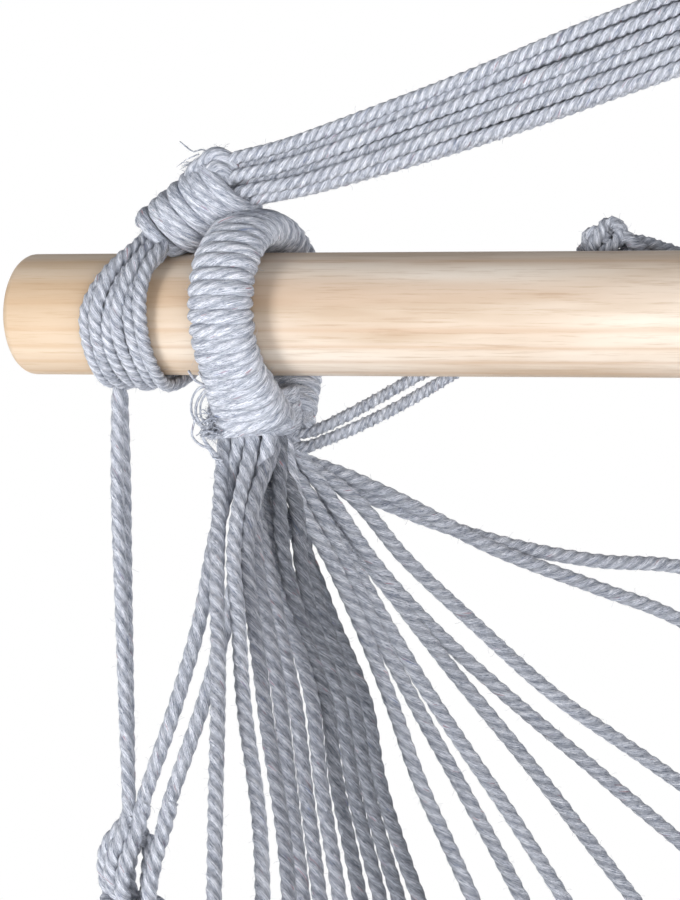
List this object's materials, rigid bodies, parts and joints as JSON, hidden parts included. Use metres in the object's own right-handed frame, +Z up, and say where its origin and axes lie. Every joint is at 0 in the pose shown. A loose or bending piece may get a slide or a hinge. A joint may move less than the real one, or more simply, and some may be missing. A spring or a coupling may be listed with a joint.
{
  "type": "hammock chair",
  "caption": "Hanging hammock chair: a sling seat carried by fans of cord from a round wooden spreader bar, which hangs in looped, whipped cords from one eye.",
  "frame": {"origin": "the hook's seat: the inner top of the top eye's winding", "axes": "+Z up, X along the spreader bar, and the sitter faces -Y"},
  "size_m": [1, 0.7787, 1.1171],
  "materials": {
    "pine_dowel": "sanded, thin clear coat",
    "cotton_cord": "laid three-strand cotton cord",
    "cotton_whipping": "soft-laid cotton cord, wound tight",
    "woven_cotton": "plain-woven cotton"
  },
  "bodies": {
    "top_eye": {"top_eye_core": "cotton_cord", "top_eye_wrap": "cotton_whipping", "top_eye_collar": "cotton_whipping"},
    "suspension": {"suspension_cord_left_1": "cotton_cord", "suspension_cord_left_2": "cotton_cord", "suspension_cord_left_3": "cotton_cord", "suspension_cord_left_4": "cotton_cord", "suspension_cord_left_5": "cotton_cord", "suspension_cord_left_6": "cotton_cord", "suspension_whipping_left": "cotton_whipping", "suspension_knot_left": "cotton_cord", "suspension_cord_right_1": "cotton_cord", "suspension_cord_right_2": "cotton_cord", "suspension_cord_right_3": "cotton_cord", "suspension_cord_right_4": "cotton_cord", "suspension_cord_right_5": "cotton_cord", "suspension_cord_right_6": "cotton_cord", "suspension_whipping_right": "cotton_whipping", "suspension_knot_right": "cotton_cord"},
    "spreader_bar": {"spreader_bar": "pine_dowel"},
    "seat": {"seat_cloth": "woven_cotton", "back_tie_middle": "cotton_cord", "seat_eye_core_left": "cotton_cord", "seat_eye_wrap_left": "cotton_whipping", "seat_collar_left": "cotton_whipping", "fan_cord_left_01": "cotton_cord", "fan_cord_left_02": "cotton_cord", "fan_cord_left_03": "cotton_cord", "fan_cord_left_04": "cotton_cord", "fan_cord_left_05": "cotton_cord", "fan_cord_left_06": "cotton_cord", "fan_cord_left_07": "cotton_cord", "fan_cord_left_08": "cotton_cord", "fan_cord_left_09": "cotton_cord", "fan_cord_left_10": "cotton_cord", "front_tie_upper_left": "cotton_cord", "front_tie_lower_left": "cotton_cord", "front_knot_left": "cotton_cord", "back_tie_left": "cotton_cord", "back_knot_left": "cotton_cord", "seat_eye_core_right": "cotton_cord", "seat_eye_wrap_right": "cotton_whipping", "seat_collar_right": "cotton_whipping", "fan_cord_right_01": "cotton_cord", "fan_cord_right_02": "cotton_cord", "fan_cord_right_03": "cotton_cord", "fan_cord_right_04": "cotton_cord", "fan_cord_right_05": "cotton_cord", "fan_cord_right_06": "cotton_cord", "fan_cord_right_07": "cotton_cord", "fan_cord_right_08": "cotton_cord", "fan_cord_right_09": "cotton_cord", "fan_cord_right_10": "cotton_cord", "front_tie_upper_right": "cotton_cord", "front_tie_lower_right": "cotton_cord", "front_knot_right": "cotton_cord", "back_tie_right": "cotton_cord", "back_knot_right": "cotton_cord"}
  },
  "joints": [
    {"name": "chair_swing", "type": "hinge", "parent": "top_eye", "child": "suspension", "pos_m": [0, 0, -0.09305], "axis": [1, 0, 0], "range_deg": [-20, 20]},
    {"name": "bar_roll", "type": "hinge", "parent": "suspension", "child": "spreader_bar", "pos_m": [0, 0, -0.285], "axis": [1, 0, 0], "continuous": true},
    {"name": "seat_swing", "type": "hinge", "parent": "suspension", "child": "seat", "pos_m": [0, 0, -0.285], "axis": [1, 0, 0], "range_deg": [-20, 20]}
  ]
}
